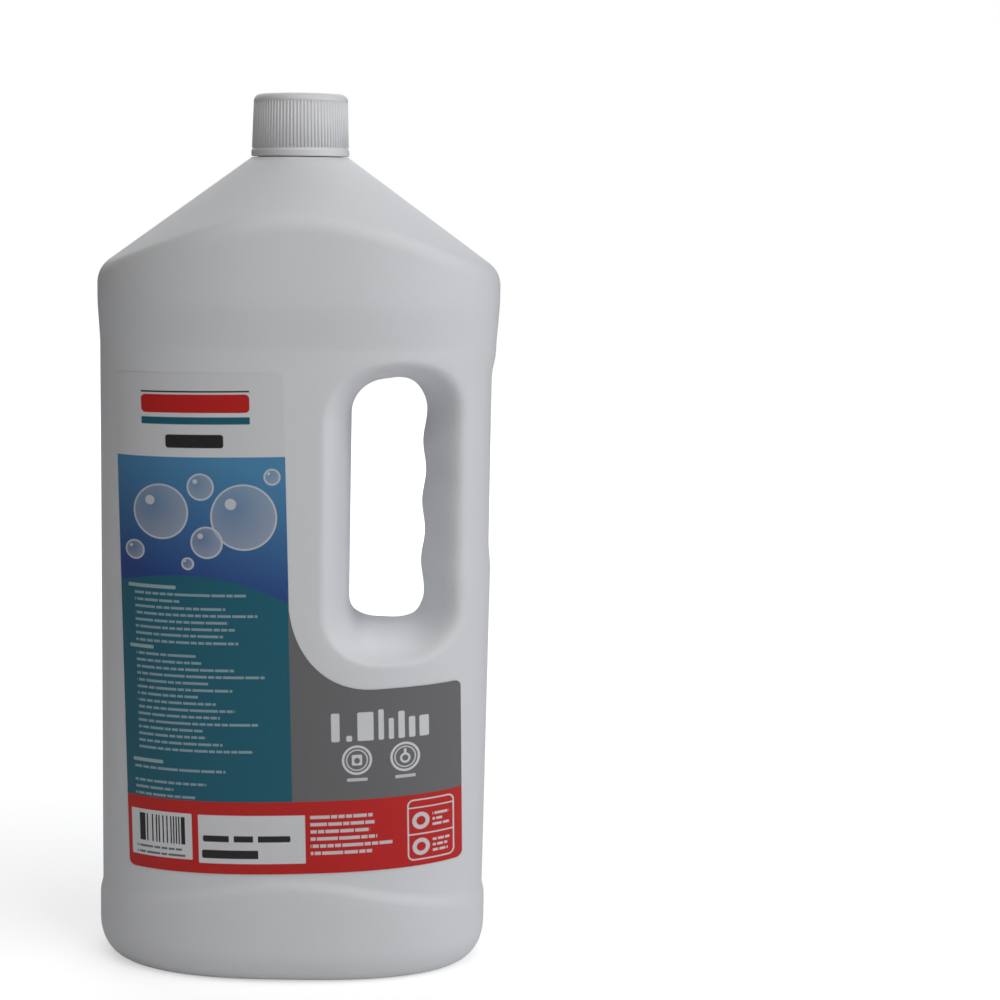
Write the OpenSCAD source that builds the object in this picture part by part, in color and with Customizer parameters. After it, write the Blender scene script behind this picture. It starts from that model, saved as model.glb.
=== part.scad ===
// Flattened oval bottle with sloping shoulders, a through grip, a ribbed screw cap and a front label.
// Millimetres. +Z is up, the front with the label faces -Y and the grip is on the +X side.
// The origin is the centre of the base, on the surface that the bottle stands on.

/* [Body] */
// Width of the body at the upper band
body_w = 127; // [118:1:136]
// Depth of the body at the upper band
body_d = 81; // [74:1:88]
// How full the oval of the plan is: 2 is an ellipse, more is squarer
body_fullness = 2.3; // [2:0.05:2.6]
// Thickness of the blown wall
wall = 0.9; // [0.6:0.1:1.5]
// Slope of the shoulders, in degrees from level
shoulder_slope = 35.8; // [30:0.2:40]
// Radius that rounds the shoulder into the body
shoulder_round = 9; // [5:0.5:12]
// Height of the shoulder's flat top, where the neck starts
shoulder_z = 256.5; // [245:0.1:270]
// Radius of the flat top of the shoulder around the neck
shoulder_top_r = 15.2; // [14.6:0.1:20]

/* [Bands and label panel] */
// Height of the top edge of the label panel
panel_top_z = 198.9; // [195:0.1:202]
// Height of the taper between the label panel and the upper band
band_taper_h = 12.6; // [8:0.1:16]
// Height of the bottom edge of the label panel at the front
panel_bottom_z = 35; // [32:0.5:36]
// How far the panel's bottom edge dips at the sides
panel_bottom_dip = 11; // [0:0.5:12]
// How far each side is set in from the upper band at the top of the label panel
panel_top_side = 0.85; // [0.2:0.05:3]
// How far the front and the back are set in from the upper band at the top of the label panel
panel_top_front = 2; // [0.5:0.1:4]
// How far each side is set in from the upper band at the bottom of the label panel
panel_bottom_side = 1.6; // [0.5:0.1:4]
// How far the front and the back are set in from the upper band at the bottom of the label panel
panel_bottom_front = 2.3; // [0.5:0.1:4]
// Height of the soft step between the foot band and the panel
foot_step = 4.5; // [3:0.5:8]
// How far each side is set in from the upper band at the foot band
foot_side = 0.8; // [0:0.1:3]
// How far the front and the back are set in from the upper band at the foot band
foot_front = 1; // [0:0.1:3]

/* [Base] */
// Height of the rounding between the foot band and the base
base_round_h = 11; // [6:0.5:14]
// How far the rounding comes in from the foot band
base_round_in = 7.5; // [4:0.5:10]
// Width of the flat ring that the bottle stands on
base_land = 5; // [3:0.5:8]
// Rise of the hollow in the middle of the base
base_hollow = 2.6; // [1:0.1:5]

/* [Grip] */
// Thickness of the grip, from its opening out to the widest part of the body's side
grip_t = 22.2; // [20:0.1:25]
// Width of the grip opening at the parting line
grip_w = 24; // [22:0.5:26]
// Height of the bottom of the grip opening
grip_bottom_z = 108; // [105:0.1:115]
// Height of the top of the grip opening
grip_top_z = 188.2; // [182:0.1:189]
// How much lower the opening's top is on the body's side
grip_top_fall = 1.2; // [0:0.1:2]
// Radius of the opening's upper corner on the body's side
grip_top_round = 11.5; // [8:0.5:12]
// Radius of the opening's upper corner on the grip's side
grip_outer_round = 9.5; // [8:0.5:10]
// Radius of the opening's lower corners
grip_bottom_round = 9.8; // [8:0.1:9.8]
// Number of finger hollows down the inner side of the grip
finger_count = 4; // [3:1:5]
// Spacing of the finger hollows
finger_pitch = 19.3; // [17:0.1:20]
// Height of the middle of the lowest finger hollow
finger_z = 119.6; // [117:0.1:122]
// Depth of a finger hollow
finger_depth = 1.1; // [0.4:0.1:2.5]
// How far the opening flares out towards the body, on the body's side
flare_body = 10; // [7:0.5:12]
// How far the opening flares out on the grip's side, up to its ridge
flare_grip = 13.3; // [11:0.1:14]
// How far the opening flares out at its top
flare_top = 7.5; // [5:0.5:8]
// How far the opening flares out at its bottom
flare_bottom = 7; // [5:0.5:9]
// How far the outer side of the grip is set in from the panel
grip_inset = 1.2; // [0.4:0.1:2]

/* [Neck] */
// Outside diameter of the neck between its threads
neck_d = 25.6; // [25:0.1:26.2]
// Inside diameter of the neck
neck_bore_d = 21.6; // [20:0.1:22.4]
// Height of the neck above the shoulder
neck_h = 16.7; // [15:0.1:20]
// Depth of the thread on the neck, which the cap's bore clears
thread_depth = 0.8; // [0.6:0.05:1]

/* [Cap] */
// Gap between the shoulder's flat top and the cap's rim
cap_gap = 0.3; // [0.2:0.1:2]
// Running clearance between the thread's crest and the cap's bore
cap_clearance = 0.25; // [0.15:0.05:0.5]
// Thickness of the cap's top
cap_top_t = 1.6; // [1.2:0.1:2.5]
// Thickness of the cap's skirt between its ribs, at its foot
cap_skirt_t = 1.05; // [0.9:0.05:1.5]
// Depth of a rib
rib_depth = 0.3; // [0.15:0.05:0.5]
// Number of ribs round the cap
rib_count = 80; // [60:1:90]
// How much the ribbed part narrows in radius from its foot to its top
cap_taper = 0.45; // [0.2:0.05:0.6]
// Height of the plain rim under the ribs
rim_h = 2.3; // [1.5:0.1:4]
// How far the plain rim stands out past the ribs
rim_step = 0.15; // [0.05:0.05:0.5]
// Radius of the cap's top edge
cap_edge_round = 1.8; // [1:0.1:2.2]
// Thickness of the sealing liner
liner_t = 1.2; // [0.8:0.1:2]
// Gap round the liner inside the cap
liner_gap = 0.2; // [0.1:0.05:0.4]

/* [Label] */
// Distance from the label's left edge to the panel's side
label_side = 10.5; // [9:0.1:18]
// Distance from the label's right edge to the panel's side
label_grip_side = 8.3; // [7:0.1:18]
// Distance from the label's bottom edge to the panel's bottom edge
label_bottom_gap = 1.2; // [1:0.1:5]
// Distance from the label's top edge to the panel's top edge
label_top_gap = 6.7; // [4:0.1:12]
// Distance from the label's tall part to the rim of the grip opening
label_tall_gap = 5.7; // [4:0.1:10]
// Distance from the label's low part up to the rim of the grip opening
label_low_gap = 7.3; // [4:0.1:12]
// How far the curve round the grip rises above the low part
label_curve_rise = 30.5; // [20:0.5:38]
// Lean of the label, in degrees
label_lean = 1.8; // [0:0.1:2]
// Radius of the label's corners
label_corner = 2; // [1:0.5:4]
// Thickness of the label
label_t = 0.15; // [0.1:0.05:0.3]
// Layer of glue between the label and the wall
label_glue = 0.1; // [0.06:0.01:0.15]

/* [Hidden] */
// Steps of the base's rounding and of the shoulder's rounding
ROUND_STEPS = 5;
// Columns round the outer wall and round the cavity
OUTER_COLUMNS = 88;
INNER_COLUMNS = 44;
// Sides of the revolved parts
$fn = 96;
// How far a cut runs past the face that it opens
cut_past = 1;

// Half sizes of the body over the height, up to the upper band
half_w = body_w / 2;
half_d = body_d / 2;
band_z = panel_top_z + band_taper_h;
panel_start_z = panel_bottom_z - foot_step;
HALF_WIDTH = [
    [0, half_w - foot_side],
    [panel_start_z, half_w - foot_side],
    [panel_bottom_z, half_w - panel_bottom_side],
    [panel_top_z, half_w - panel_top_side],
    [band_z, half_w],
];
HALF_DEPTH = [
    [0, half_d - foot_front],
    [panel_start_z, half_d - foot_front],
    [panel_bottom_z, half_d - panel_bottom_front],
    [panel_top_z, half_d - panel_top_front],
    [band_z, half_d],
];

// Grip opening, placed from the body's side
grip_right = half_w - grip_t;
grip_left = grip_right - grip_w;
grip_rim = grip_left - flare_body;
grip_rim_z = grip_bottom_z - flare_bottom;

// Mesh of the outer wall and of the cavity: columns round the body, the first and last of the columns that
// the grip opening interrupts, and the steps of its upright sides, of half a side corner and of half an end
// corner. The last column is the first one past the opening's rim.
rim_margin = 1.5;
rim_turn = atan2(half_d - panel_bottom_front, grip_rim - rim_margin);
OUTER_MESH = [OUTER_COLUMNS, 4, ceil(rim_turn * OUTER_COLUMNS / 360), [24, 8], 2, 6];
INNER_MESH = [INNER_COLUMNS, 2, ceil(rim_turn * INNER_COLUMNS / 360), [6, 6], 2, 3];

// Outer side of the grip: the set-in runs from a little below the opening to a little above it
grip_inset_run = 5;
grip_inset_past = 2;
grip_inset_low = grip_rim_z + grip_inset_past;
grip_inset_high = grip_top_z + grip_inset_past;
GRIP_INSET = [
    [grip_inset_low - grip_inset_run, 0],
    [grip_inset_low, grip_inset],
    [grip_inset_high, grip_inset],
    [grip_inset_high + grip_inset_run, 0],
];

// Neck, liner and cap, stacked up from the shoulder
neck_r = neck_d / 2;
neck_top_z = shoulder_z + neck_h;
neck_lip_round = 0.5;
neck_root = 6;
cap_z = shoulder_z + cap_gap;
cap_inside_z = neck_top_z + liner_t;
cap_top_z = cap_inside_z + cap_top_t;
thread_r = neck_r + thread_depth;
cap_bore_r = thread_r + cap_clearance;
cap_head_r = cap_bore_r - cap_taper;
cap_head_h = 4;
rib_root_r = cap_bore_r + cap_skirt_t;
rib_tip_r = rib_root_r + rib_depth;
rim_r = rib_tip_r + rim_step;
rib_z = cap_z + rim_h;
rib_top_z = cap_top_z - cap_edge_round;
rim_edge = 0.3;
liner_r = cap_head_r - liner_gap;
// How far the cap's plain parts run into its ribbed part, upwards and under the ribs
rib_overlap = 0.05;
rib_core_inset = 0.15;

// Two triangles that make one face of four corners, given in order round it
function quad(a, b, c, d) = [[a, b, c], [a, c, d]];

// Radius of the oval plan towards one direction
function plan_r(t, a, b) =
    1 / pow(pow(abs(cos(t)) / a, body_fullness) + pow(abs(sin(t)) / b, body_fullness), 1 / body_fullness);

// How much of the grip's set-in one direction gets: all of it at the side, none at the front
grip_share_power = 6;
function grip_share(t) = pow(max(0, cos(t)), grip_share_power);

// Radius of the outer wall in one direction at one height of the tables, less an offset for the cavity
function wall_r(t, z, off) =
    plan_r(t, lookup(z, HALF_WIDTH), lookup(z, HALF_DEPTH)) - grip_share(t) * lookup(z, GRIP_INSET) - off;

// Front surface of the body over a place on its width and height, never quite down to the parting line
least_share = 0.02;
function front_y(x, z) =
    let (
        half_width = lookup(z, HALF_WIDTH) - max(0, sign(x)) * lookup(z, GRIP_INSET),
        across = min(1, abs(x) / half_width)
    ) lookup(z, HALF_DEPTH) * pow(max(least_share, 1 - pow(across, body_fullness)), 1 / body_fullness);

// Where the panel's bottom edge runs, from the front to the dipped sides
function dip(t) = -panel_bottom_dip * pow(abs(cos(t)), 2);

// Height in the tables of a place in one direction on the panel, which is stretched down to its dipped edge
function panel_z(z, t) =
    let (
        high = GRIP_INSET[0][0],
        edge = panel_bottom_z + dip(t),
        share = (high - z) / (high - edge)
    ) z > high ? z : high - (high - panel_bottom_z) * share;

// One upright section of the body in one direction, from the base's ring to the neck
function section(t, off) =
    let (
        foot_r = wall_r(t, 0, off),
        round_in = base_round_in - off,
        round_h = base_round_h - off,
        band_r = wall_r(t, band_z, off),
        top_z = shoulder_z - off,
        corner_z = top_z - (band_r - shoulder_top_r) * tan(shoulder_slope),
        arc_r = shoulder_round - off,
        run = arc_r * tan((90 - shoulder_slope) / 2)
    ) concat(
        [[foot_r - round_in - base_land, off]],
        [for (i = [0:ROUND_STEPS])
            let (q = 90 * i / ROUND_STEPS)
            [foot_r - round_in * (1 - sin(q)), off + round_h * (1 - cos(q))]],
        [[wall_r(t, panel_start_z, off), panel_start_z + dip(t)]],
        [[wall_r(t, panel_bottom_z, off), panel_bottom_z + dip(t)]],
        [for (p = GRIP_INSET) [wall_r(t, p[0], off), p[0]]],
        [[wall_r(t, panel_top_z, off), panel_top_z]],
        [[band_r, band_z]],
        [for (i = [0:ROUND_STEPS])
            let (q = (90 - shoulder_slope) * i / ROUND_STEPS)
            [band_r - arc_r * (1 - cos(q)), corner_z - run + arc_r * sin(q)]],
        [[shoulder_top_r, top_z]]
    );

// Outline of the grip opening, as stretches that each turn round half a corner, run straight, and turn round
// half the next corner. The turns are the directions that the stretch before, this one and the next one face.
// Each entry is x, z, and the outward direction's x and z.
function stretch(from, to, turns, steps, corner_steps) =
    let (
        aim = [cos(turns[1]), sin(turns[1])],
        start = [from[0], from[1]] + from[2] * aim,
        end = [to[0], to[1]] + to[2] * aim
    ) concat(
        [for (i = [0:corner_steps - 1])
            let (q = turns[1] - (turns[1] - turns[0]) / 2 * (1 - i / corner_steps))
            [from[0] + from[2] * cos(q), from[1] + from[2] * sin(q), cos(q), sin(q)]],
        [for (i = [0:steps])
            let (p = start + (end - start) * i / steps)
            [p[0], p[1], aim[0], aim[1]]],
        [for (i = [1:corner_steps - 1])
            let (q = turns[1] + (turns[2] - turns[1]) / 2 * i / corner_steps)
            [to[0] + to[2] * cos(q), to[1] + to[2] * sin(q), cos(q), sin(q)]]
    );
function opening(mesh) =
    let (
        low_z = grip_bottom_z + grip_bottom_round,
        low_right = [grip_right - grip_bottom_round, low_z, grip_bottom_round],
        high_right = [grip_right - grip_outer_round, grip_top_z - grip_outer_round, grip_outer_round],
        high_left = [grip_left + grip_top_round, grip_top_z - grip_top_fall - grip_top_round, grip_top_round],
        low_left = [grip_left + grip_bottom_round, low_z, grip_bottom_round],
        // The top is the line that touches both of its corners
        top_run = [high_left[0] - high_right[0], high_left[1] - high_right[1]],
        top_lean = acos((grip_outer_round - grip_top_round) / norm(top_run)),
        top_turn = 360 + atan2(top_run[1], top_run[0]) - top_lean,
        end_steps = mesh[2] - mesh[1] - 2 * mesh[5]
    ) concat(
        stretch(low_right, high_right, [-90, 0, top_turn], mesh[3][0], mesh[4]),
        stretch(high_right, high_left, [0, top_turn, 180], end_steps, mesh[5]),
        stretch(high_left, low_left, [top_turn, 180, 270], mesh[3][1], mesh[4]),
        stretch(low_left, low_right, [180, 270, 360], end_steps, mesh[5])
    );

// How far the ridges between the finger hollows stand out at one height of the grip's inner side
function finger_ridge(z) =
    let (
        low = finger_z - finger_pitch / 2,
        high = finger_z + (finger_count - 0.5) * finger_pitch,
        inside = max(0, min(1, (z - low) / finger_pitch * 2, (high - z) / finger_pitch * 2))
    ) finger_depth * (1 - cos(360 * (z - finger_z) / finger_pitch)) / 2 * inside;

// The flare, ring by ring from the parting line to the face: share of the depth, share of the width towards
// the body, and share of the width across the grip
FLARE = [[0, 0, 0], [0.42, 0.13, 0.27], [0.7, 0.28, 0.5], [0.87, 0.48, 0.69], [0.96, 0.73, 0.86], [1, 1, 1]];

// One point of the flared wall round the opening: on ring k of the front (k < 0) or the back, moved into the
// plastic by an offset for the cavity
function flare_point(k, p, off) =
    let (
        ring = FLARE[abs(k)],
        side = pow(max(0, p[2]), 2),
        body_side = pow(min(0, p[2]), 2),
        end_width = p[3] > 0 ? flare_top : flare_bottom,
        width = flare_grip * side + flare_body * body_side + end_width * (1 - side - body_side),
        fade = pow(1 - ring[2], 2) * side * (off > 0 ? 0 : 1),
        out = width * (ring[1] * (1 - side) + ring[2] * side) - fade * finger_ridge(p[1]),
        x = p[0] + out * p[2],
        z = p[1] + out * p[3],
        lean = 90 * pow(ring[0], 3)
    ) [
        x + off * cos(lean) * p[2],
        sign(k) * (ring[0] * front_y(x, z) - off * sin(lean)),
        z + off * cos(lean) * p[3],
    ];

// A closed skin through upright sections that stand round the Z axis, with the grip opening through it
module skin(mesh, off, low_z, high_z) {
    columns = mesh[0];
    sections = [for (i = [0:columns - 1]) section(360 * i / columns, off)];
    rows = len(sections[0]);
    // Rows that bound the grip: the set-in's four, and the panel's top
    grip_row = ROUND_STEPS + 4;
    top_row = grip_row + 4;
    wall_points = [for (i = [0:columns - 1]) for (p = sections[i])
        [p[0] * cos(360 * i / columns), p[0] * sin(360 * i / columns), p[1]]];
    low = columns * rows;
    high = low + 1;

    // Column beside the grip on the front (side = -1) or the back, and a point of one column and row
    function column(side, c) = side < 0 ? (columns - c) % columns : c;
    function at(side, c, row) = column(side, c) * rows + row;

    // Points that divide the long edges beside the grip
    divisions = [for (n = mesh[3]) n + 2 * mesh[4] - 3];
    edges = [for (side = [-1, 1]) for (e = [0, 1]) [side, e]];
    edge_points = [for (q = edges)
        let (
            a = wall_points[at(q[0], mesh[1 + q[1]], grip_row + 1)],
            b = wall_points[at(q[0], mesh[1 + q[1]], grip_row + 2)]
        ) for (i = [1:divisions[q[1]] - 1]) a + (b - a) * i / divisions[q[1]]];
    per_side = divisions[0] + divisions[1] - 2;
    function edge_index(side, e, i) =
        high + (side < 0 ? 0 : per_side) + (e == 0 ? 0 : divisions[0] - 1) + i;
    function edge_list(side, e) = [for (i = [1:divisions[e] - 1]) edge_index(side, e, i)];
    function reversed(list) = [for (i = [len(list) - 1:-1:0]) list[i]];

    // Closed chain of points round the interrupted block, in step with the opening's outline
    function chain(side) = concat(
        [at(side, mesh[1], grip_row), at(side, mesh[1], grip_row + 1)],
        edge_list(side, 0),
        [at(side, mesh[1], grip_row + 2), at(side, mesh[1], grip_row + 3)],
        [for (c = [mesh[1]:mesh[2] - 1]) at(side, c, top_row)],
        [at(side, mesh[2], top_row), at(side, mesh[2], grip_row + 3), at(side, mesh[2], grip_row + 2)],
        reversed(edge_list(side, 1)),
        [at(side, mesh[2], grip_row + 1)],
        [for (c = [mesh[2]:-1:mesh[1] + 1]) at(side, c, grip_row)]
    );

    // Rings of the flared wall, from the front's rim through the parting line to the back's rim
    outline = opening(mesh);
    n = len(outline);
    last = len(FLARE) - 1;
    ring_points = [for (k = [-last:last]) for (p = outline) flare_point(k, p, off)];
    first_ring = high + 1 + 2 * per_side;
    function ring(k) = [for (i = [0:n - 1]) first_ring + (k + last) * n + i];
    bands = concat([[chain(-1), ring(-last)]], [for (k = [-last:last - 1]) [ring(k), ring(k + 1)]],
        [[ring(last), chain(1)]]);
    band_faces = [for (b = bands) for (i = [0:n - 1])
        let (j = (i + 1) % n)
        each quad(b[0][i], b[0][j], b[1][j], b[1][i])];

    // Cells of the wall, apart from the block that is open and the two beside each of its long edges
    function place(i) = i > columns / 2 ? columns - i : i;
    function kept(i, j) =
        let (c = min(place(i), place((i + 1) % columns)), in_rows = j >= grip_row && j < top_row)
        !(in_rows && c >= mesh[1] && c < mesh[2])
        && !(j == grip_row + 1 && (c == mesh[1] - 1 || c == mesh[2]));
    wall_faces = [for (i = [0:columns - 1])
        let (a = i * rows, b = (i + 1) % columns * rows)
        each concat(
            [[low, b, a]],
            [for (j = [0:rows - 2]) if (kept(i, j)) each quad(a + j, b + j, b + j + 1, a + j + 1)],
            [[high, a + rows - 1, b + rows - 1]]
        )];

    // The cells beside the long edges, as fans over their dividing points
    function fan(hub, rim, flip) =
        [for (i = [0:len(rim) - 2]) flip ? [hub, rim[i + 1], rim[i]] : [hub, rim[i], rim[i + 1]]];
    fan_faces = [for (q = edges)
        let (
            c = mesh[1 + q[1]],
            next = q[1] == 0 ? c - 1 : c + 1,
            rim = concat(
                [at(q[0], c, grip_row + 1)],
                edge_list(q[0], q[1]),
                [at(q[0], c, grip_row + 2), at(q[0], next, grip_row + 2)]
            )
        ) each fan(at(q[0], next, grip_row + 1), rim, (q[0] < 0) == (q[1] == 0))];

    faces = concat(wall_faces, fan_faces, band_faces);
    polyhedron(
        points = concat(wall_points, [[0, 0, low_z], [0, 0, high_z]], edge_points, ring_points),
        faces = [for (f = faces) [f[2], f[1], f[0]]]
    );
}

// The neck's outer form, a lip rounded at its top
module neck_outer() {
    rotate_extrude()
        polygon([
            [0, shoulder_z - neck_root],
            [neck_r, shoulder_z - neck_root],
            [neck_r, neck_top_z - neck_lip_round],
            [neck_r - neck_lip_round, neck_top_z],
            [0, neck_top_z],
        ]);
}

// One blown piece: body, shoulders, hollow grip, base and neck
module bottle() {
    color("whitesmoke")
        difference() {
            union() {
                skin(OUTER_MESH, 0, base_hollow, shoulder_z);
                neck_outer();
            }
            skin(INNER_MESH, wall, base_hollow + wall, shoulder_z - wall);
            translate([0, 0, shoulder_z - neck_root])
                cylinder(d = neck_bore_d, h = neck_h + neck_root + cut_past);
        }
}

// A solid with upright ribs round it, narrowing to its top
module ribbed_form() {
    n = 2 * rib_count;
    function ring(shrink, z) =
        [for (i = [0:n - 1])
            let (r = (i % 2 == 0 ? rib_tip_r : rib_root_r) - shrink)
            [r * cos(360 * i / n), r * sin(360 * i / n), z]];
    points = concat(ring(0, rib_z), ring(cap_taper, rib_top_z), [[0, 0, rib_z], [0, 0, rib_top_z]]);
    polyhedron(points = points, faces = [for (i = [0:n - 1])
        let (j = (i + 1) % n)
        each concat(quad(i, n + i, n + j, j), [[2 * n, i, j], [2 * n + 1, n + j, n + i]])]);
}

// Plain parts of the cap: rim, core under the ribs, and the top with its rounded edge
module cap_core() {
    top_r = rib_tip_r - cap_taper;
    core_r = rib_root_r - rib_core_inset;
    edge_z = rib_top_z - rib_overlap;
    rotate_extrude()
        polygon(concat(
            [
                [0, cap_z],
                [rim_r - rim_edge, cap_z],
                [rim_r, cap_z + rim_edge],
                [rim_r, rib_z - rim_edge],
                [rim_r - rim_edge, rib_z + rib_overlap],
                [core_r, rib_z + rib_overlap],
                [core_r - cap_taper, edge_z],
            ],
            [for (i = [0:ROUND_STEPS])
                let (q = 90 * i / ROUND_STEPS)
                [top_r - cap_edge_round * (1 - cos(q)), edge_z + (cap_top_z - edge_z) * sin(q)]],
            [[0, cap_top_z]]
        ));
}

// The screw cap: ribbed outside, with a bore for the thread and a narrower head for the liner
module cap() {
    color("white")
        difference() {
            union() {
                ribbed_form();
                cap_core();
            }
            translate([0, 0, cap_z - cut_past])
                cylinder(r = cap_bore_r, h = cap_inside_z - cap_head_h - cap_z + cut_past);
            translate([0, 0, cap_inside_z - cap_head_h - cut_past])
                cylinder(r = cap_head_r, h = cap_head_h + cut_past);
        }
}

// The foam disc that seals the neck, seated on the lip and under the cap's top
module cap_liner() {
    color("lightgrey")
        translate([0, 0, neck_top_z])
            cylinder(r = liner_r, h = liner_t);
}

// Label, laid out on its own flat sheet: u runs across from the left edge, v runs up from the bottom edge
LABEL_COLUMNS = 14;
CORNER_STEPS = 3;
label_room = half_w - max(panel_top_side, panel_bottom_side);
label_left = label_room - label_side;
label_w = label_left + label_room - label_grip_side;
label_tall_w = label_left + grip_rim - label_tall_gap;
label_low_w = label_w - label_tall_w;
label_z = panel_bottom_z + label_bottom_gap;
label_h = panel_top_z - label_top_gap - label_z;
label_low_h = grip_rim_z - label_low_gap - label_z;
label_curve_h = label_low_h + label_curve_rise;
// The curve round the grip: how round it is, and the share of the low part that it takes
curve_power = 2.2;
curve_share = 0.5;
// Spacing of the low part's columns, closest beside the tall part, and the first one's distance from it
column_power = 1.5;
column_start = 0.02;

// How far a rounded corner cuts in at one distance from the side
function round_end(d) =
    label_corner - sqrt(max(0, pow(label_corner, 2) - pow(max(0, label_corner - d), 2)));
function cut_curve(u) =
    let (share = min(1, (u - label_tall_w) / (label_low_w * curve_share)))
    label_low_h + (label_curve_h - label_low_h) * (1 - pow(1 - pow(1 - share, curve_power), 1 / curve_power));
function label_top(u) =
    u <= label_tall_w
        ? label_h - round_end(u) - round_end(label_tall_w - u)
        : cut_curve(u) - round_end(label_w - u);
function label_bottom(u) = round_end(u) + round_end(label_w - u);

// Places across the sheet of its columns of points: corner, tall part, corner, low part, corner
function label_stops() =
    let (turn = 90 / CORNER_STEPS) concat(
        [for (i = [0:CORNER_STEPS]) label_corner * (1 - cos(turn * i))],
        [for (i = [1:LABEL_COLUMNS]) label_corner + (label_tall_w - 2 * label_corner) * i / LABEL_COLUMNS],
        [for (i = [1:CORNER_STEPS]) label_tall_w - label_corner + label_corner * sin(turn * i)],
        [for (i = [1:LABEL_COLUMNS])
            let (share = pow(i / LABEL_COLUMNS, column_power))
            label_tall_w + column_start + (label_low_w - label_corner) * share],
        [for (i = [1:CORNER_STEPS]) label_w - label_corner + label_corner * sin(turn * i)]
    );

// Place on the bottle of one point of the sheet, lifted off the wall by a distance
function on_panel(u, v, lift) =
    let (
        x = (u - label_left) * cos(label_lean) - v * sin(label_lean),
        z = label_z + (u - label_left) * sin(label_lean) + v * cos(label_lean),
        turn = atan2(lookup(z, HALF_DEPTH) * sqrt(max(0, 1 - pow(x / half_w, 2))), x),
        a = lookup(panel_z(z, turn), HALF_WIDTH),
        b = lookup(panel_z(z, turn), HALF_DEPTH),
        y = b * pow(1 - pow(abs(x) / a, body_fullness), 1 / body_fullness),
        nx = sign(x) * pow(abs(x) / a, body_fullness - 1) / a,
        ny = pow(y / b, body_fullness - 1) / b,
        size = norm([nx, ny])
    ) [x + lift * nx / size, -(y + lift * ny / size), z];

// The printed paper label, one thin sheet bent round the front of the panel
module label() {
    stops = label_stops();
    n = len(stops);
    shares = [0, 0.5, 1];
    m = len(shares);
    points = [for (lift = [label_glue, label_glue + label_t]) for (u = stops)
        let (low = label_bottom(u), high = label_top(u))
        for (s = shares) on_panel(u, low + (high - low) * s, lift)];
    outer = n * m;
    last = (n - 1) * m;
    faces = concat(
        [for (i = [0:n - 2]) for (j = [0:m - 2])
            let (a = i * m + j, b = a + m)
            each concat(
                quad(a, a + 1, b + 1, b),
                quad(outer + a, outer + b, outer + b + 1, outer + a + 1)
            )],
        [for (i = [0:n - 2])
            let (a = i * m, b = a + m, c = b - 1, d = c + m)
            each concat(quad(a, b, outer + b, outer + a), quad(c, outer + c, outer + d, d))],
        [for (j = [0:m - 2])
            let (e = last + j)
            each concat(
                quad(j, outer + j, outer + j + 1, j + 1),
                quad(e, e + 1, outer + e + 1, outer + e)
            )]
    );
    color("teal")
        polyhedron(points = points, faces = faces);
}

bottle();
cap();
cap_liner();
label();
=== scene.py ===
import math

import bpy
from bpy.props import FloatProperty, FloatVectorProperty, IntProperty, PointerProperty
from bpy.types import Operator, Panel, PropertyGroup
from mathutils import Euler, Matrix, Vector


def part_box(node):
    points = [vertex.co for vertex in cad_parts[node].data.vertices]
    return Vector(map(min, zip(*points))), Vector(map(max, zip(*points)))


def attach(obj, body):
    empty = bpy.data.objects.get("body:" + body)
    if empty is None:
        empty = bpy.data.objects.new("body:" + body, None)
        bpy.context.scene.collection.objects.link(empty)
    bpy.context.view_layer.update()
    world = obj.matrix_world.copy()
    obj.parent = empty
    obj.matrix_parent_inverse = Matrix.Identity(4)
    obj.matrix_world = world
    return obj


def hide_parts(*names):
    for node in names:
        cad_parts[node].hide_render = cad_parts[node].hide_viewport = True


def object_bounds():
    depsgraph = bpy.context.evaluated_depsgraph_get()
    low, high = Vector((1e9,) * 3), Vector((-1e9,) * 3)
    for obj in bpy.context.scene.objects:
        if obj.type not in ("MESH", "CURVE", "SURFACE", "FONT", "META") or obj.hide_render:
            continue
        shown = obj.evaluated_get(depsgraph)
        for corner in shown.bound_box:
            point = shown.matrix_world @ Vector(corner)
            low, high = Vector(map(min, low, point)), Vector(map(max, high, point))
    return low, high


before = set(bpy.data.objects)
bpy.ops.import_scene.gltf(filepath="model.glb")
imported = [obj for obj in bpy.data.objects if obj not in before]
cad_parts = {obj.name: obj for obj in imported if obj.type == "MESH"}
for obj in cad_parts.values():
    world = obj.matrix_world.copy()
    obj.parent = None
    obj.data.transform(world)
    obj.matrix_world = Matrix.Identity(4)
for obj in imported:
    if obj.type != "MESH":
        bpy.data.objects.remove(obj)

bl_info = {
    "name": "Handle bottle with a screw cap",
    "version": (1, 0, 0),
    "blender": (4, 5, 0),
    "location": "3D View > Sidebar > Bottle",
    "description": "Dresses a blown bottle: body with a grip, neck thread, ribbed cap, liner, printed label, stage",
    "category": "Object",
}

CAD_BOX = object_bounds()
BODY_LOW, BODY_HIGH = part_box("bottle")
CAP_LOW, CAP_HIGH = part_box("cap")
LINER_LOW, LINER_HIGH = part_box("cap_liner")
MM = 0.001


# Property helpers
def length(name, description, millimetres):
    return FloatProperty(name=name, description=description, default=millimetres * MM, unit="LENGTH")


def number(name, description, value):
    return FloatProperty(name=name, description=description, default=value)


def angle(name, description, degrees):
    return FloatProperty(name=name, description=description, default=math.radians(degrees), subtype="ANGLE")


def colour(name, description, value):
    return FloatVectorProperty(name=name, description=description, default=value, size=3, min=0, max=1,
                               subtype="COLOR")


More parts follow.
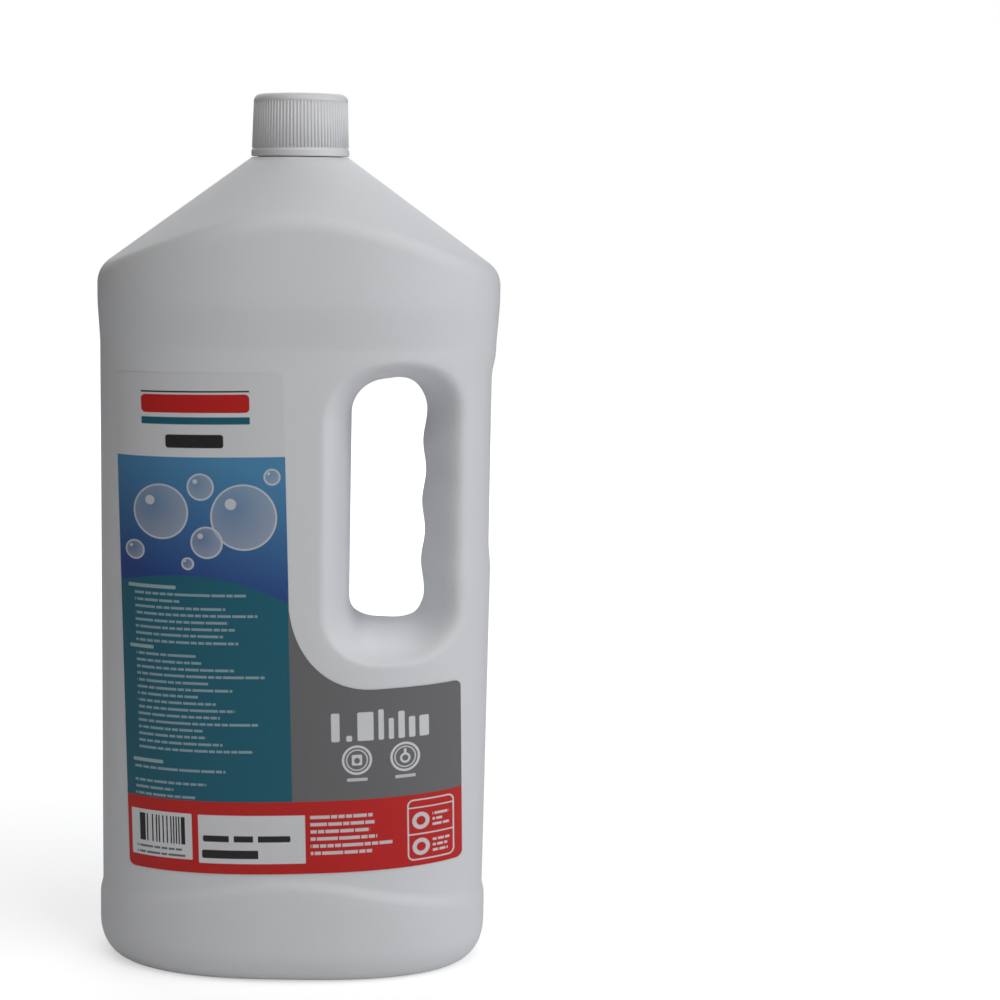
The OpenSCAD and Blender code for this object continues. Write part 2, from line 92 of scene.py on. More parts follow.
class BodySizes(PropertyGroup):
    """Sizes of the blown body"""

    width: length("Width", "Width at the upper band", (BODY_HIGH.x - BODY_LOW.x) / MM)
    depth: length("Depth", "Depth at the upper band", (BODY_HIGH.y - BODY_LOW.y) / MM)
    fullness: number("Fullness", "Power of the oval plan: 2 is an ellipse, more is squarer", 2.3)
    wall: length("Wall", "Thickness of the blown wall", 0.9)
    shoulder_slope: angle("Shoulder slope", "Slope of the shoulders from level", 35.8)
    shoulder_round: length("Shoulder round", "Radius between the shoulder and the side", 9)
    shoulder_height: length("Shoulder height", "Height of the shoulder's flat top", 256.5)
    shoulder_top: length("Shoulder top", "Radius of the shoulder's flat top", 15.2)
    band_height: length("Band height", "Height at which the upper band starts to taper in", 211.5)
    panel_top: length("Panel top", "Height of the label panel's top edge", 198.9)
    panel_top_width: length("Panel top width", "Width at the label panel's top edge", 125.3)
    panel_top_depth: length("Panel top depth", "Depth at the label panel's top edge", 77)
    panel_bottom: length("Panel bottom", "Height of the label panel's bottom edge at the front", 35)
    panel_dip: length("Panel dip", "How far the bottom edge dips at the sides", 11)
    panel_bottom_width: length("Panel bottom width", "Width at the label panel's bottom edge", 123.8)
    panel_bottom_depth: length("Panel bottom depth", "Depth at the label panel's bottom edge", 76.4)
    foot_step: length("Foot step", "Height of the soft step over the foot band", 4.5)
    foot_width: length("Foot width", "Width at the foot band", 125.4)
    foot_depth: length("Foot depth", "Depth at the foot band", 79)
    base_round_height: length("Base round height", "Height of the rounding over the base", 11)
    base_round_in: length("Base round in", "How far the rounding comes in", 7.5)
    base_land: length("Base land", "Width of the ring that the bottle stands on", 5)
    base_hollow: length("Base hollow", "Rise of the hollow in the base", 2.6)
    crease_round, band_round = 0.7 * MM, 2.5 * MM  # reach of the rounding at the panel's top and the band's edge


class GripSizes(PropertyGroup):
    """Sizes of the grip and its opening"""

    left: length("Left", "From the bottle's middle to the opening's body side", 17.3)
    width: length("Width", "Width of the opening at the parting line", 24)
    bottom: length("Bottom", "Height of the opening's bottom", 108)
    top: length("Top", "Height of the opening's top", 188.2)
    top_fall: length("Top fall", "How much lower the top is on the body's side", 0.5)
    top_round: length("Top round", "Radius of the upper corner on the body's side", 11)
    outer_round: length("Outer round", "Radius of the upper corner on the grip's side", 9.5)
    bottom_round: length("Bottom round", "Radius of the lower corners", 9.8)
    finger_count: IntProperty(name="Finger count", description="Number of finger hollows", default=4)
    finger_pitch: length("Finger pitch", "Spacing of the finger hollows", 19.3)
    finger_height: length("Finger height", "Height of the lowest finger hollow", 119.6)
    finger_depth: length("Finger depth", "Depth of a finger hollow", 1.1)
    flare_body: length("Body flare", "How far the opening flares out towards the body", 10)
    flare_grip: length("Grip flare", "How far the opening flares out to the grip's ridge", 13.3)
    flare_top: length("Top flare", "How far the opening flares out at its top", 7.5)
    flare_bottom: length("Bottom flare", "How far the opening flares out at its bottom", 7)
    inset: length("Inset", "How far the grip's outer side is set in", 1.2)
    # Run of the set-in at each end, its way past the opening's top, and its lower end's height and depth
    inset_run, inset_past, inset_low, inset_end = 5 * MM, 2 * MM, 134.3 * MM, 0.7 * MM
    # How tightly the flare curls on the body's side, and how much of it is an ellipse on the grip's side
    body_curl, grip_round = 1.6, 0.7


class NeckSizes(PropertyGroup):
    """Sizes of the neck and its thread"""

    radius: length("Radius", "Outer radius between the threads", 12.8)
    bore: length("Bore", "Radius of the bore", 10.8)
    lip_round = 0.5 * MM
    pitch: length("Pitch", "Rise of the thread in one turn", 4.233)
    turns: number("Turns", "Turns of the neck's thread", 1.75)
    crest: length("Crest", "Radius over the thread's crest", 13.6)
    thread_round: length("Thread round", "Radius of the thread's round section", 0.95)
    thread_start: length("Thread start", "Height at which the thread starts", 261.4)


class CapSizes(PropertyGroup):
    """Sizes of the screw cap"""

    rim_radius: length("Rim radius", "Outer radius of the plain rim", (CAP_HIGH.x - CAP_LOW.x) / 2 / MM)
    rim_height: length("Rim height", "Height of the plain rim", 1.95)
    ledge_height: length("Ledge height", "Height of the slanted ledge over the rim", 0.75)
    bore: length("Bore", "Radius of the bore round the thread", 13.85)
    head: length("Head", "Radius of the narrower bore over the thread", 13.4)
    top_thickness: length("Top thickness", "Thickness of the top", 1.6)
    core_radius: length("Core radius", "Radius between the ribs, at their foot", 14.9)
    taper: length("Taper", "How much the ribbed part narrows in radius", 0.45)
    edge_round: length("Edge round", "Radius of the top edge", 2.2)
    rib_count: IntProperty(name="Rib count", description="Number of ribs", default=85)
    rib_round: length("Rib round", "Radius of a rib's round section", 0.36)
    rib_depth: length("Rib depth", "How far a rib stands out", 0.3)
    rim_round, head_height = 0.35 * MM, 4 * MM
    thread_round, thread_crest, thread_turns = 0.75 * MM, 13.05 * MM, 1.5


class LabelSizes(PropertyGroup):
    """Sizes of the printed label"""

    width: length("Width", "Width of the whole label", 105)
    height: length("Height", "Height of the tall part", 156)
    tall_width: length("Tall width", "Width of the tall part", 51.8)
    low_height: length("Low height", "Height of the low part", 57.5)
    curve_height: length("Curve height", "Height at which the cut-out curve starts", 88)
    left: length("Left", "From the bottle's middle to the label's left edge", 51.4)
    bottom: length("Bottom", "Height of the label's bottom edge", 36.2)
    lean: angle("Lean", "Lean of the label", 1.8)
    corner: length("Corner", "Radius of the corners", 2)
    thickness: length("Thickness", "Thickness of the paper", 0.15)
    glue = 0.1 * MM
    curve_power, curve_share = 2.2, 0.5  # how round the cut-out is, and its share of the low part


class FinishColours(PropertyGroup):
    """Colours of the plastics and the print"""

    plastic: colour("Bottle plastic", "White of the blown bottle", (0.77, 0.78, 0.80))
    cap: colour("Cap plastic", "White of the cap", (0.80, 0.80, 0.82))
    liner: colour("Liner foam", "Off-white of the sealing foam", (0.74, 0.73, 0.69))
    paper: colour("Paper", "White of the label", (0.75, 0.755, 0.775))
    red: colour("Red", "Red of the lower band", (0.58, 0.014, 0.012))
    teal: colour("Teal", "Teal of the left field", (0.009, 0.125, 0.185))
    grey: colour("Grey", "Grey of the right field", (0.165, 0.165, 0.17))
    sky: colour("Sky", "Light blue of the field with bubbles", (0.08, 0.27, 0.48))
    night: colour("Deep blue", "Deep blue of the field with bubbles", (0.018, 0.06, 0.26))
    ink: colour("Ink", "Near-black of the dark print", (0.02, 0.02, 0.022))


class StageSizes(PropertyGroup):
    """Camera and light of the stage"""

    camera_distance: length("Camera distance", "From the bottle's axis to the camera", 700)
    camera_height: length("Camera height", "Height of the camera", 246.4)
    camera_pitch: angle("Camera pitch", "How far the camera looks down", 8)
    camera_roll: angle("Camera roll", "How far the camera is turned about its view", 0.62)
    focal_length: number("Focal length", "Focal length on a 36 mm wide sensor", 79.4)
    shift: number("Shift", "Sideways shift of the frame, in frame widths", 0.2034)
    lamp_distance: length("Lamp distance", "From the bottle's middle to each lamp", 1600)
    fill: number("Fill", "Strength of the light from all round", 0.01)


FLOOR_REACH = 4
COOL, WARM = (0.95, 0.97, 1.0), (1.0, 0.98, 0.95)
LAMPS = (
    # Name, turn from the front to the right and rise in degrees, side in millimetres, power in watts, tint
    ("key_lamp", 58, 28, 1700, 14.8, COOL),
    ("top_lamp", 0, 60, 1600, 9.8, WARM),
    ("back_lamp", 186, 38, 1600, 10, COOL),
)


# Node graphs
def maths(operation, swapped=False):
    """A method that adds one Math node, with its own signal first or, swapped, last."""
    def method(self, *others):
        return self.graph.math(operation, *((*others, self) if swapped else (self, *others)))
    return method


class Signal:
    """A socket of a node graph. Python arithmetic on it adds Math nodes."""

    def __init__(self, graph, socket):
        self.graph, self.socket = graph, socket

    __add__ = __radd__ = maths("ADD")
    __sub__, __rsub__ = maths("SUBTRACT"), maths("SUBTRACT", swapped=True)
    __mul__ = __rmul__ = maths("MULTIPLY")
    __truediv__ = maths("DIVIDE")
    __lt__, __gt__ = maths("LESS_THAN"), maths("GREATER_THAN")
    __abs__ = maths("ABSOLUTE")
    floor, fraction, root = maths("FLOOR"), maths("FRACT"), maths("SQRT")
    at_least, at_most = maths("MAXIMUM"), maths("MINIMUM")

    def clamped(self):
        return self.graph.math("ADD", self, 0.0, clamp=True)


def emptied(owner):
    """The node tree of a new material or world, without its first nodes."""
    owner.use_nodes = True
    owner.node_tree.nodes.clear()
    return owner.node_tree


class Graph:
    """A shader's or a geometry's node tree, with one method that adds any node."""

    def __init__(self, tree):
        self.tree = tree

    def node(self, kind, values=None, **settings):
        """Adds a node with its settings, then plugs the values or links into its sockets."""
        node = self.tree.nodes.new(kind)
        for name, value in settings.items():
            setattr(node, name, value)
        for key, value in (values or {}).items():
            self.plug(node.inputs[key], value)
        return node

    def plug(self, socket, value):
        if isinstance(value, Signal):
            value = value.socket
        if isinstance(value, bpy.types.NodeSocket):
            self.tree.links.new(value, socket)
        else:
            socket.default_value = value

    def signal(self, node, output=0):
        return Signal(self, node.outputs[output])

    def math(self, operation, *values, clamp=False):
        return self.signal(self.node("ShaderNodeMath", dict(enumerate(values)), operation=operation, use_clamp=clamp))


class Finish(Graph):
    """One material: a Principled surface, with its pattern made from expressions."""

    def __init__(self, name, base, roughness, constants=None):
        self.material = bpy.data.materials.new(name)
        super().__init__(emptied(self.material))
        self.surface = self.node("ShaderNodeBsdfPrincipled", {"Roughness": roughness, **(constants or {})})
        self.base(base)
        self.node("ShaderNodeOutputMaterial", {"Surface": self.surface.outputs["BSDF"]})

    @staticmethod
    def paint(value):
        """A link as it is, or three plain numbers as an opaque colour."""
        return value if isinstance(value, bpy.types.NodeSocket) else (*value, 1)

    def base(self, value):
        self.plug(self.surface.inputs["Base Color"], self.paint(value))

    def roughness(self, value):
        self.plug(self.surface.inputs["Roughness"], value)

    def place(self):
        """Object coordinates, whole and as x, y and z in metres."""
        whole = self.node("ShaderNodeTexCoord").outputs["Object"]
        parts = self.node("ShaderNodeSeparateXYZ", {"Vector": whole})
        return whole, self.signal(parts, "X"), self.signal(parts, "Y"), self.signal(parts, "Z")

    def noise(self, place, scale, detail=2.0, roughness=0.5):
        """Noise between 0 and 1, with about one lump in 1 / scale metres."""
        return self.signal(self.node("ShaderNodeTexNoise", {
            "Vector": place, "Scale": scale, "Detail": detail, "Roughness": roughness}))

    def stretched(self, place, scale):
        """The place, scaled by a different number along each axis."""
        return self.node("ShaderNodeVectorMath", {0: place, 1: scale}, operation="MULTIPLY").outputs[0]

    def pick(self, value):
        """A random number between 0 and 1 that stays the same for one value."""
        return self.signal(self.node("ShaderNodeTexWhiteNoise", {"W": value}, noise_dimensions="1D"))

    def mixed(self, share, low, high):
        """A colour between two others."""
        values = {0: share, 6: self.paint(low), 7: self.paint(high)}
        return self.node("ShaderNodeMix", values, data_type="RGBA").outputs[2]

    def relief(self, height, depth, under=None):
        """Bumps the surface by a height between 0 and 1, over a depth in metres."""
        bump = self.node("ShaderNodeBump", {
            "Height": height, "Distance": depth, "Strength": 1.0, **({} if under is None else {"Normal": under})})
        self.plug(self.surface.inputs["Normal"], bump.outputs["Normal"])
        return bump.outputs["Normal"]


# Meshes
def placed(name, data):
    """Adds an object to the scene, at the origin."""
    item = bpy.data.objects.new(name, data)
    bpy.context.scene.collection.objects.link(item)
    return item


def mesh_object(name, points, faces, material=None):
    """Adds a smooth-shaded mesh."""
    mesh = bpy.data.meshes.new(name)
    mesh.from_pydata(points, [], faces)
    mesh.shade_smooth()
    if material:
        mesh.materials.append(material)
    return placed(name, mesh)


def wrapped(steps, rows, hubs, kept=lambda i, j: True):
    """Faces that join columns of points round the Z axis and close both ends on two points that follow them."""
    faces = []
    for i in range(steps):
        a, b = i * rows, (i + 1) % steps * rows
        faces.append((hubs, b, a))
        faces += [(a + j, b + j, b + j + 1, a + j + 1) for j in range(rows - 1) if kept(i, j)]
        faces.append((hubs + 1, a + rows - 1, b + rows - 1))
    return faces


def lathe(name, profile, steps, material):
    """Turns a profile of radii and heights round the Z axis. Its two ends lie on the axis."""
    points = [
        (radius * math.cos(math.tau * i / steps), radius * math.sin(math.tau * i / steps), height)
        for i in range(steps) for radius, height in profile[1:-1]
    ]
    faces = wrapped(steps, len(profile) - 2, len(points))
    points += [(0, 0, profile[0][1]), (0, 0, profile[-1][1])]
    return mesh_object(name, points, faces, material)


def quarter(centre, radius, start, end, steps=6):
    """Points of an arc in a profile, between two angles in degrees."""
    turns = [math.radians(start + (end - start) * i / steps) for i in range(steps + 1)]
    return [(centre[0] + radius * math.cos(t), centre[1] + radius * math.sin(t)) for t in turns]


def grown(name, tree, values):
    """Plain mesh of what a geometry node tree makes from the named values."""
    piece = mesh_object(name, [], [])
    modifier = piece.modifiers.new(name, "NODES")
    modifier.node_group = tree
    for item in tree.interface.items_tree:
        if item.in_out == "INPUT":
            modifier[item.identifier] = values[item.name]
    bpy.context.view_layer.update()
    depsgraph = bpy.context.evaluated_depsgraph_get()
    mesh = bpy.data.meshes.new_from_object(piece.evaluated_get(depsgraph))
    piece.modifiers.clear()
    piece.data = mesh
    mesh.name = name
    return piece


def geometry_tree(name, sizes, counts=()):
    """A geometry node tree with one output, the named inputs and a material. Returns its graph and its inputs."""
    tree = bpy.data.node_groups.new(name, "GeometryNodeTree")
    tree.interface.new_socket("Geometry", in_out="OUTPUT", socket_type="NodeSocketGeometry")
    kinds = {**dict.fromkeys(sizes, "Float"), **dict.fromkeys(counts, "Int"), "Material": "Material"}
    for label, kind in kinds.items():
        tree.interface.new_socket(label, in_out="INPUT", socket_type=f"NodeSocket{kind}")
    graph = Graph(tree)
    source = graph.node("NodeGroupInput")
    return graph, {label: graph.signal(source, label) for label in kinds}


def moved(graph, geometry, how, **axes):
    """Moves or turns geometry by an amount along each named axis."""
    amount = graph.node("ShaderNodeCombineXYZ", axes).outputs[0]
    return graph.node("GeometryNodeTransform", {"Geometry": geometry, how: amount}).outputs[0]


def finish_tree(graph, geometry, material):
    """Ends a geometry tree in real, smooth, finished geometry."""
    real = graph.node("GeometryNodeRealizeInstances", {"Geometry": geometry})
    smooth = graph.node("GeometryNodeSetShadeSmooth", {"Geometry": real.outputs[0]})
    done = graph.node("GeometryNodeSetMaterial", {"Geometry": smooth.outputs[0], "Material": material})
    graph.node("NodeGroupOutput", {"Geometry": done.outputs[0]})


RUN_OUT = 0.06  # share of a thread that runs out at each end
THREAD_TIP = 0.02  # share of the section that is left at its tips


def thread_tree():
    """A helical thread of round section whose ends run out to nothing."""
    graph, size = geometry_tree("Thread", ("Radius", "Pitch", "Turns", "Start", "Section", "Run out"))
    path = graph.node("GeometryNodeCurveSpiral", {
        "Resolution": 72, "Rotations": size["Turns"], "Start Radius": size["Radius"],
        "End Radius": size["Radius"], "Height": size["Pitch"] * size["Turns"]})
    raised = moved(graph, path.outputs[0], "Translation", Z=size["Start"])
    along = graph.signal(graph.node("GeometryNodeSplineParameter"), "Factor")
    ends = (along.at_most(1 - along) / size["Run out"]).clamped()
    taper = (1 - (1 - ends) * (1 - ends)).root().at_least(THREAD_TIP)
    section = graph.node("GeometryNodeCurvePrimitiveCircle", {"Resolution": 16, "Radius": size["Section"]})
    swept = graph.node("GeometryNodeCurveToMesh", {
        "Curve": raised, "Profile Curve": section.outputs[0], "Scale": taper, "Fill Caps": True})
    finish_tree(graph, swept.outputs[0], size["Material"])
    return graph.tree


def rib_tree():
    """Upright round ribs that lean in together, in a ring."""
    graph, size = geometry_tree("Cap ribs", ("Ring radius", "Rib radius", "Height", "Middle", "Lean"), ("Count",))
    ring = graph.node("GeometryNodeMeshCircle", {"Vertices": size["Count"], "Radius": size["Ring radius"]})
    rib = graph.node("GeometryNodeMeshCone", {
        "Vertices": 10, "Radius Top": size["Rib radius"] * 0.9, "Radius Bottom": size["Rib radius"],
        "Depth": size["Height"]})
    centred = moved(graph, rib.outputs[0], "Translation", Z=size["Height"] * -0.5)
    leaning = moved(graph, centred, "Rotation", Y=0 - size["Lean"])
    outwards = graph.node("GeometryNodeInputPosition").outputs[0]
    turned = graph.node("FunctionNodeAlignRotationToVector", {"Vector": outwards}, axis="X", pivot_axis="Z")
    placed = graph.node("GeometryNodeInstanceOnPoints", {
        "Points": ring.outputs[0], "Instance": leaning, "Rotation": turned.outputs[0]})
    raised = moved(graph, placed.outputs[0], "Translation", Z=size["Middle"])
    finish_tree(graph, raised, size["Material"])
    return graph.tree


# The blown body
def oval_radius(turn, half_width, half_depth, fullness):
    """Radius of the body's oval plan in one direction."""
    across = (abs(math.cos(turn)) / half_width) ** fullness
    through = (abs(math.sin(turn)) / half_depth) ** fullness
    return (across + through) ** (-1 / fullness)


def along(height, stops):
    """Value at one height of a broken line. Each stop has a height, a value and the reach of its rounding."""
    slopes = [0.0] + [(b[1] - a[1]) / (b[0] - a[0]) for a, b in zip(stops, stops[1:])] + [0.0]
    for (at, value, reach), low, high in zip(stops, slopes, slopes[1:]):
        x = height - at
        if abs(x) < reach:
            return value + (low + high) / 2 * x + (high - low) * (x * x + reach * reach) / (4 * reach)
    if height <= stops[0][0]:
        return stops[0][1]
    for a, b, slope in zip(stops, stops[1:], slopes[1:]):
        if height <= b[0]:
            return a[1] + slope * (height - a[0])
    return stops[-1][1]


def mix(a, b, share):
    return a + (b - a) * share


def shares(count, first=1):
    """Even shares of a whole, from the first step to the last."""
    return [i / count for i in range(first, count + 1)]


class Wall:
    """The shape of the blown wall, at its outer face or moved into the plastic."""

    BASE_ROWS = ((0.55, 1.0), (0.8, 0.97), (0.9, 0.8), (0.96, 0.35), (1.0, 0.0))
    ROUND_STEPS = 10
    FOOT_STEPS = 4
    STEP_STEPS = 6
    PANEL_STEPS = 14
    GRIP_STEPS = 50
    BAND_RISES = (0.3, 0.7, 2, 4, 6.5, 9, 10.1, 11.3, 12.6, 13.9, 15.1)
    SHOULDER_STEPS = 12
    SLOPE_STEPS = 10
    SILL_ROUND = 0.5 * MM
    BLOCK_MARGIN = 3 * MM
    INSET_POWER = 6  # keeps the set-in to the grip's side
    LEAST_REST = 0.02  # keeps the panel's face from closing at the body's side

    def __init__(self, body, grip, inward=0.0):
        self.body, self.grip, self.inward = body, grip, inward

        def stops(bottom, top, band):
            """Half of a size at the panel's bottom, at its top and at the upper band."""
            return [(body.panel_bottom, bottom / 2, self.SILL_ROUND), (body.panel_top, top / 2, body.crease_round),
                    (body.band_height, band / 2, body.band_round)]

        self.half_width = stops(body.panel_bottom_width, body.panel_top_width, body.width)
        self.half_depth = stops(body.panel_bottom_depth, body.panel_top_depth, body.depth)
        low, high = grip.inset_low, grip.top + grip.inset_past
        reach = grip.inset_run / 2
        self.inset = [(low - grip.inset_run, 0, reach), (low, grip.inset_end, reach),
                      (high, grip.inset, reach), (high + grip.inset_run, 0, reach)]
        self.block_low = grip.bottom - grip.flare_bottom - self.BLOCK_MARGIN
        self.first_row = (len(self.BASE_ROWS) + self.ROUND_STEPS + self.FOOT_STEPS + self.STEP_STEPS
                          + self.PANEL_STEPS)
        self.last_row = self.first_row + self.GRIP_STEPS

    def radius(self, turn, height):
        """Radius of the wall in one direction at one height of the panel or the band."""
        share = max(0.0, math.cos(turn)) ** self.INSET_POWER
        oval = oval_radius(turn, along(height, self.half_width), along(height, self.half_depth),
                           self.body.fullness)
        return oval - share * along(height, self.inset) - self.inward

    def face(self, x, height):
        """Depth of the panel's front face over a place on the body's width and height."""
        half = along(height, self.half_width) - (along(height, self.inset) if x > 0 else 0)
        power = self.body.fullness
        rest = max(self.LEAST_REST, 1 - min(1.0, abs(x) / half) ** power)
        return along(height, self.half_depth) * rest ** (1 / power)

    def section(self, turn):
        """Radii and heights up the wall in one direction, from the base's middle to the shoulder's top."""
        body, inward = self.body, self.inward
        foot = oval_radius(turn, body.foot_width / 2, body.foot_depth / 2, body.fullness) - inward
        round_in, round_height = body.base_round_in - inward, body.base_round_height - inward
        land = foot - round_in - body.base_land
        rows = [(land * share, inward + body.base_hollow * rise) for share, rise in self.BASE_ROWS]
        for share in shares(self.ROUND_STEPS, 0):
            q = math.pi / 2 * share
            rows.append((foot - round_in * (1 - math.sin(q)), inward + round_height * (1 - math.cos(q))))
        dip = body.panel_dip * math.cos(turn) ** 2
        start = body.panel_bottom - body.foot_step - dip
        rows += [(foot, mix(body.base_round_height, start, share)) for share in shares(self.FOOT_STEPS)]
        panel = self.radius(turn, body.panel_bottom)
        rows += [(mix(foot, panel, share * share * (3 - 2 * share)), start + body.foot_step * share)
                 for share in shares(self.STEP_STEPS)]
        above = self.radius(turn, self.block_low)
        rows += [(mix(panel, above, share), mix(start + body.foot_step, self.block_low, share))
                 for share in shares(self.PANEL_STEPS)]
        heights = [mix(self.block_low, body.panel_top, share) for share in shares(self.GRIP_STEPS)]
        heights += [body.panel_top + rise * MM for rise in self.BAND_RISES]
        rows += [(self.radius(turn, height), height) for height in heights]
        full = oval_radius(turn, body.width / 2, body.depth / 2, body.fullness) - inward
        top = body.shoulder_height - inward
        slope, bend = body.shoulder_slope, body.shoulder_round - inward
        corner = top - (full - body.shoulder_top) * math.tan(slope)
        run = bend * math.tan((math.pi / 2 - slope) / 2)
        for share in shares(self.SHOULDER_STEPS, 0):
            q = (math.pi / 2 - slope) * share
            rows.append((full - bend * (1 - math.cos(q)), corner - run + bend * math.sin(q)))
        side, height = rows[-1]
        rows += [(mix(side, body.shoulder_top, share), mix(height, top, share))
                 for share in shares(self.SLOPE_STEPS)]
        return rows

    def finger_ridge(self, height):
        """How far the ridges between the finger hollows stand out at one height."""
        grip = self.grip
        pitch = grip.finger_pitch
        low = grip.finger_height - pitch / 2
        high = grip.finger_height + (grip.finger_count - 0.5) * pitch
        inside = max(0.0, min(1.0, (height - low) / pitch * 2, (high - height) / pitch * 2))
        wave = 1 - math.cos(math.tau * (height - grip.finger_height) / pitch)
        return grip.finger_depth * wave / 2 * inside

    def flare(self, side, share, spot):
        """A point of the flared wall round the opening. Share goes from 0 at the parting line to 1 at the rim."""
        grip = self.grip
        x, z, out_x, out_z = spot
        across, towards = max(0.0, out_x) ** 2, min(0.0, out_x) ** 2
        depth = mix(math.sin(math.pi / 2 * share), math.sqrt(share * (2 - share)), grip.grip_round * across)
        end = grip.flare_top if out_z > 0 else grip.flare_bottom
        reach = grip.flare_grip * across + grip.flare_body * towards + end * (1 - across - towards)
        fade = (1 - share) ** 2 * across if self.inward == 0 else 0.0
        out = reach * mix(share ** grip.body_curl, share, across) - fade * self.finger_ridge(z)
        px, pz = x + out * out_x, z + out * out_z
        lean = math.pi / 2 * depth ** 3
        away = self.inward * math.cos(lean)
        return (px + away * out_x, side * (depth * self.face(px, pz) - self.inward * math.sin(lean)),
                pz + away * out_z)

    def outline(self, across_steps):
        """Spots round the opening, each with its place and its outward direction, in step with the block."""
        grip = self.grip
        right, low = grip.left + grip.width, grip.bottom + grip.bottom_round
        corners = [
            (right - grip.bottom_round, low, grip.bottom_round),
            (right - grip.outer_round, grip.top - grip.outer_round, grip.outer_round),
            (grip.left + grip.top_round, grip.top - grip.top_fall - grip.top_round, grip.top_round),
            (grip.left + grip.bottom_round, low, grip.bottom_round),
        ]
        # The top is the line that touches both of its corners
        high, fall = corners[1], Vector(corners[2][:2]) - Vector(corners[1][:2])
        top_turn = math.tau + math.atan2(fall.y, fall.x) - math.acos((high[2] - corners[2][2]) / fall.length)
        turns = (-math.pi / 2, 0, top_turn, math.pi, math.pi * 1.5, math.tau)
        spots = []
        for i, steps in enumerate((self.GRIP_STEPS, across_steps) * 2):
            spots += self.stretch(corners[i], corners[(i + 1) % 4], turns[i:i + 3], steps)
        return spots

    @staticmethod
    def stretch(start, end, turns, steps):
        """Evenly spaced spots round half a corner, along a side and round half the next corner."""
        before, turn, after = turns
        aim = Vector((math.cos(turn), math.sin(turn)))
        first = Vector(start[:2]) + start[2] * aim
        last = Vector(end[:2]) + end[2] * aim
        bends = ((turn - before) / 2, (after - turn) / 2)
        lengths = (start[2] * bends[0], (last - first).length, end[2] * bends[1])
        spots = []
        for i in range(steps):
            gone = sum(lengths) * i / steps
            if gone < lengths[0]:
                q, corner = turn - bends[0] * (1 - gone / lengths[0]), start
            elif gone > lengths[0] + lengths[1]:
                q, corner = turn + bends[1] * (gone - lengths[0] - lengths[1]) / lengths[2], end
            else:
                spot = first.lerp(last, (gone - lengths[0]) / lengths[1])
                spots.append((spot.x, spot.y, aim.x, aim.y))
                continue
            spots.append((corner[0] + corner[2] * math.cos(q), corner[1] + corner[2] * math.sin(q),
                          math.cos(q), math.sin(q)))
        return spots


# Columns round the body, the columns between which the grip's block lies, and the rings round the opening
COLUMNS = 176
BLOCK = (8, 42)
RIM_RINGS, FLARE_RINGS = 6, 18


def neck_rows(body, neck):
    """Radii and heights up the neck's outside, over its lip and down its bore."""
    root, top, lip = body.shoulder_height, BODY_HIGH.z, neck.lip_round
    wide, narrow = neck.radius, neck.bore
    inner_top = body.shoulder_height - body.wall
    return [
        (wide + 1.0 * MM, root), (wide + 0.3 * MM, root + 0.15 * MM), (wide + 0.05 * MM, root + 0.5 * MM),
        (wide, root + 1.0 * MM), (wide, mix(root, top, 0.5)),
        *quarter((wide - lip, top - lip), lip, 0, 90, 4), *quarter((narrow + lip, top - lip), lip, 90, 180, 4),
        (narrow, mix(root, top, 0.5)), (narrow, inner_top + 0.8 * MM), (narrow + 0.25 * MM, inner_top + 0.2 * MM),
        (narrow + 0.9 * MM, inner_top),
    ]


def bottle_mesh(body, grip, neck, material):
    """The blown bottle as one closed skin: outer wall, neck, bore and cavity, with the grip through it."""
    outer, inner = Wall(body, grip), Wall(body, grip, body.wall)
    up = neck_rows(body, neck)
    points = []
    for i in range(COLUMNS):
        turn = math.tau * i / COLUMNS
        column = outer.section(turn) + up + inner.section(turn)[::-1]
        points += [(r * math.cos(turn), r * math.sin(turn), z) for r, z in column]
    rows = len(column)

    # Rows of the block that the grip interrupts, in the outer wall and in the cavity
    spans = ((outer.first_row, outer.last_row), (rows - 1 - outer.last_row, rows - 1 - outer.first_row))

    def kept(i, j):
        """Whether the wall's own face stays there, outside the grip's block."""
        near = min(i, COLUMNS - i, (i + 1) % COLUMNS, COLUMNS - (i + 1) % COLUMNS)
        return not (BLOCK[0] <= near < BLOCK[1] and any(low <= j < high for low, high in spans))

    faces = wrapped(COLUMNS, rows, len(points), kept)
    points += [(0, 0, body.base_hollow), (0, 0, body.base_hollow + body.wall)]
    for wall, row_of in ((outer, lambda row: row), (inner, lambda row: rows - 1 - row)):
        faces += grip_faces(wall, row_of, rows, points)
    return mesh_object("bottle_body", points, faces, material)


